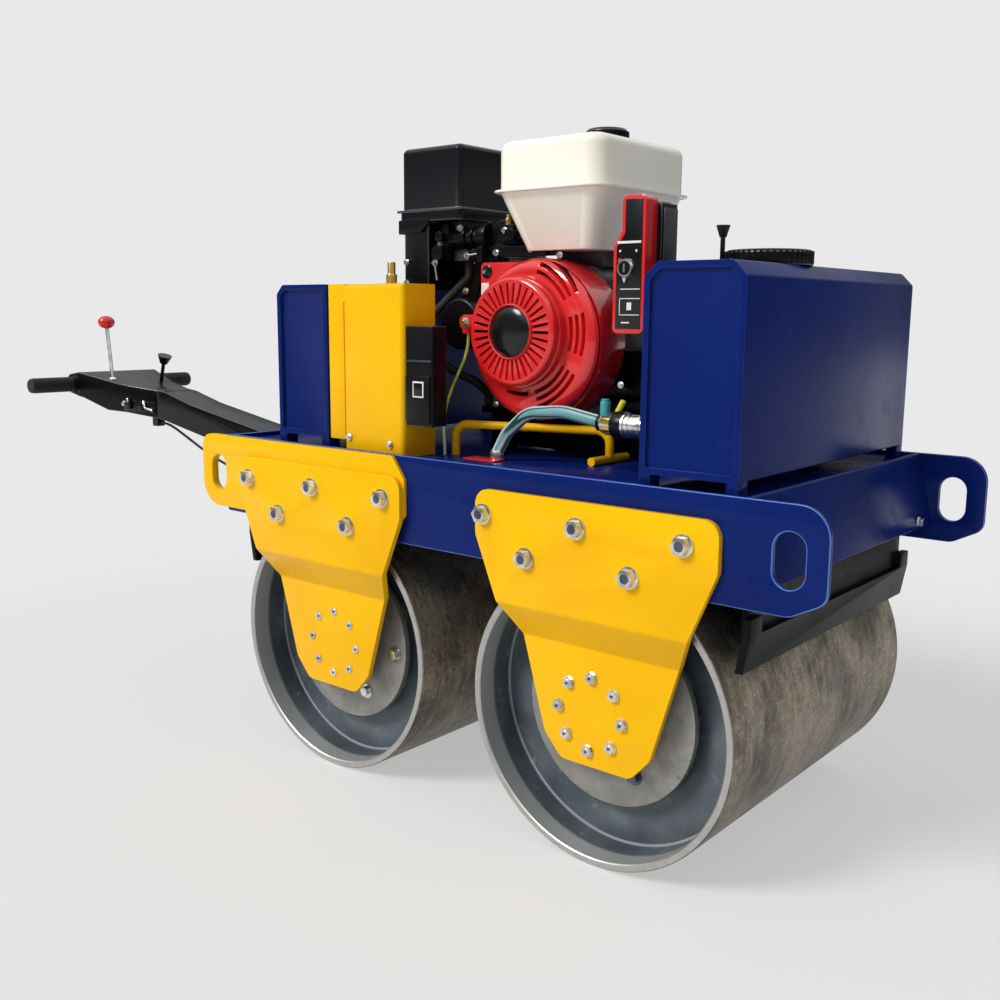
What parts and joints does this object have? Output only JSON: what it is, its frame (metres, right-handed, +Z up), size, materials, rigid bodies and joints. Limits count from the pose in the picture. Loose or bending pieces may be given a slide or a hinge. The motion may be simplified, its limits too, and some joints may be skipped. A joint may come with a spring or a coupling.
{
  "type": "walk-behind double-drum vibratory road roller",
  "caption": "Walk-behind road roller with smooth steel drums, a bolted frame with lifting eyes, box tanks, an open petrol engine and a folding steering handle.",
  "frame": {"origin": "on the ground under the middle of the machine's overall length, handle included, on its centre plane", "axes": "+X forwards, away from the handle, +Y to the machine's left and +Z up"},
  "size_m": [2.1334, 0.686, 1.1079],
  "materials": {
    "black_paint": "satin",
    "black_plastic": "satin",
    "black_rubber": "matt",
    "blue_paint": "gloss",
    "brass_fitting": "plain",
    "cast_aluminium": "cast",
    "cream_paint": "gloss",
    "drum_steel": "worn bare steel",
    "green_wire": "satin",
    "grey_paint": "satin",
    "hub_steel": "machined",
    "red_paint": "gloss",
    "red_plastic": "gloss",
    "teal_hose": "satin",
    "yellow_paint": "gloss",
    "zinc_steel": "bright zinc"
  },
  "bodies": {
    "chassis": {"air_cleaner": "black_plastic", "breather": "brass_fitting", "carburettor": "cast_aluminium", "centre_beam": "blue_paint", "control_box": "red_paint", "control_box_back": "black_plastic", "deck_plate": "blue_paint", "dipstick": "black_plastic", "electrical_box": "black_plastic", "engine_base": "black_paint", "engine_block": "cast_aluminium", "fan_cover": "red_paint", "front_axle": "hub_steel", "front_bracket_far": "yellow_paint", "front_bracket_near": "yellow_paint", "front_cross_plate": "blue_paint", "front_scraper": "grey_paint", "front_tank": "blue_paint", "fuel_cap": "black_plastic", "fuel_tank": "cream_paint", "ground_wire": "green_wire", "handle_bracket": "black_paint", "hose_coupling": "zinc_steel", "hose_foot": "zinc_steel", "hydraulic_pump": "cast_aluminium", "muffler": "black_paint", "rear_axle": "hub_steel", "rear_bracket_far": "yellow_paint", "rear_bracket_near": "yellow_paint", "rear_cross_plate": "blue_paint", "rear_plate_far": "yellow_paint", "rear_plate_near": "yellow_paint", "rear_scraper": "grey_paint", "rear_tank": "blue_paint", "recoil_centre": "black_plastic", "recoil_cover": "red_paint", "round_cover": "black_plastic", "side_panel_far": "blue_paint", "side_panel_near": "blue_paint", "starter_motor": "black_paint", "supply_hose": "teal_hose", "tank_cap": "black_plastic", "tube_rail": "yellow_paint", "wiring_sleeve": "black_rubber", "yellow_cover": "yellow_paint"},
    "front_drum": {"front_drum_shell": "drum_steel", "front_hub_far": "hub_steel", "front_hub_near": "hub_steel"},
    "rear_drum": {"rear_drum_shell": "drum_steel", "rear_hub_far": "hub_steel", "rear_hub_near": "hub_steel"},
    "handle": {"control_cable": "black_rubber", "control_head": "black_paint", "drive_lever": "zinc_steel", "grip_far": "black_rubber", "grip_near": "black_rubber", "handle_beam": "black_paint", "handlebar": "black_paint", "lever_knob": "red_plastic", "throttle_lever": "black_plastic"}
  },
  "joints": [
    {"name": "front_drum_spin", "type": "hinge", "parent": "chassis", "child": "front_drum", "pos_m": [0.7135, 0, 0.23], "axis": [0, 1, 0], "continuous": true},
    {"name": "rear_drum_spin", "type": "hinge", "parent": "chassis", "child": "rear_drum", "pos_m": [0.1395, 0, 0.23], "axis": [0, 1, 0], "continuous": true},
    {"name": "handle_fold", "type": "hinge", "parent": "chassis", "child": "handle", "pos_m": [-0.21368, 0, 0.5], "axis": [0, 1, 0], "range_deg": [0, 75]}
  ]
}
